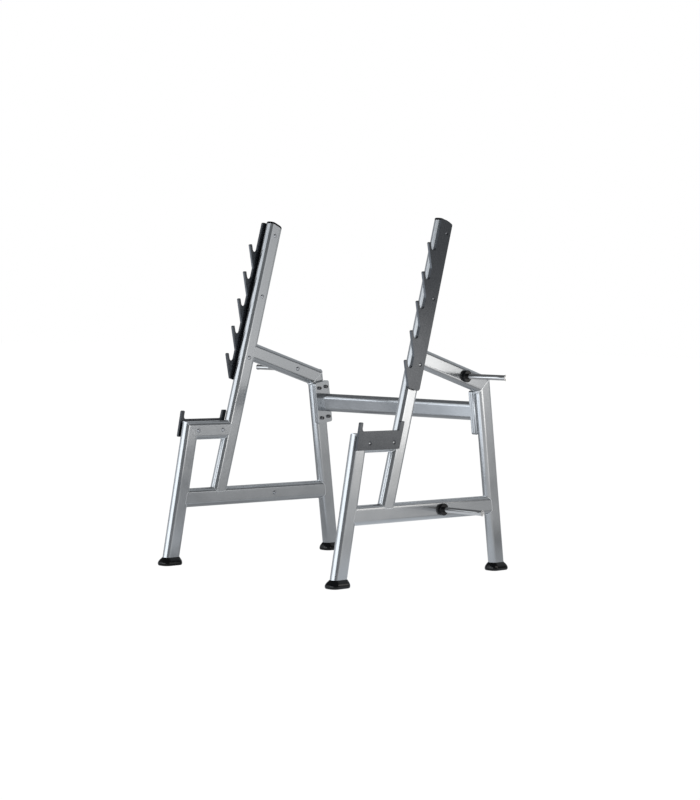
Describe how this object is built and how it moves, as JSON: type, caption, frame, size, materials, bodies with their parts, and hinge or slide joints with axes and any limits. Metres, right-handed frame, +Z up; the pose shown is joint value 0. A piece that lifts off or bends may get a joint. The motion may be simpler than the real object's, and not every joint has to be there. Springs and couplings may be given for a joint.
{
  "type": "squat rack",
  "caption": "Free-standing squat rack: two leaning side frames of flat oval tube with stepped bar hooks, low catches and plate pegs, joined behind by a bolted crossbeam.",
  "frame": {"origin": "on the floor, in the middle of the rack's overall width and depth", "axes": "+Z up; +X to the right of someone who stands in front of the rack and faces it; +Y from the front legs to the rear legs, so the hooks face -Y"},
  "size_m": [1.7946, 1.371, 1.8414],
  "materials": {
    "silver_paint": "silver metallic paint, soft gloss",
    "charcoal_coat": "charcoal powder coat, satin",
    "chrome": "bright chrome plate",
    "black_rubber": "glossy moulded black rubber",
    "black_oxide": "black oxide on steel bolts",
    "zinc_plate": "bright zinc plate on steel screws"
  },
  "bodies": {
    "root": {"crossbeam": "silver_paint", "left_catch_arm": "silver_paint", "left_catch_plate": "charcoal_coat", "left_catch_screw_1": "zinc_plate", "left_catch_screw_2": "zinc_plate", "left_crossbeam_end_plate": "silver_paint", "left_end_cap": "black_rubber", "left_flange_bolt_1": "black_oxide", "left_flange_bolt_2": "black_oxide", "left_flange_bolt_3": "black_oxide", "left_flange_bolt_4": "black_oxide", "left_front_foot": "black_rubber", "left_front_leg": "silver_paint", "left_hook_plate": "charcoal_coat", "left_hook_screw_1": "zinc_plate", "left_hook_screw_2": "zinc_plate", "left_hook_screw_3": "zinc_plate", "left_leg_flange": "silver_paint", "left_lower_beam": "silver_paint", "left_lower_peg": "chrome", "left_lower_peg_collar": "black_rubber", "left_lower_peg_screw": "zinc_plate", "left_rear_brace": "silver_paint", "left_rear_foot": "black_rubber", "left_rear_leg": "silver_paint", "left_upper_peg": "chrome", "left_upper_peg_collar": "black_rubber", "left_upper_peg_screw": "zinc_plate", "left_upright": "silver_paint", "right_catch_arm": "silver_paint", "right_catch_plate": "charcoal_coat", "right_catch_screw_1": "zinc_plate", "right_catch_screw_2": "zinc_plate", "right_crossbeam_end_plate": "silver_paint", "right_end_cap": "black_rubber", "right_flange_bolt_1": "black_oxide", "right_flange_bolt_2": "black_oxide", "right_flange_bolt_3": "black_oxide", "right_flange_bolt_4": "black_oxide", "right_front_foot": "black_rubber", "right_front_leg": "silver_paint", "right_hook_plate": "charcoal_coat", "right_hook_screw_1": "zinc_plate", "right_hook_screw_2": "zinc_plate", "right_hook_screw_3": "zinc_plate", "right_leg_flange": "silver_paint", "right_lower_beam": "silver_paint", "right_lower_peg": "chrome", "right_lower_peg_collar": "black_rubber", "right_lower_peg_screw": "zinc_plate", "right_rear_brace": "silver_paint", "right_rear_foot": "black_rubber", "right_rear_leg": "silver_paint", "right_upper_peg": "chrome", "right_upper_peg_collar": "black_rubber", "right_upper_peg_screw": "zinc_plate", "right_upright": "silver_paint"}
  },
  "joints": []
}
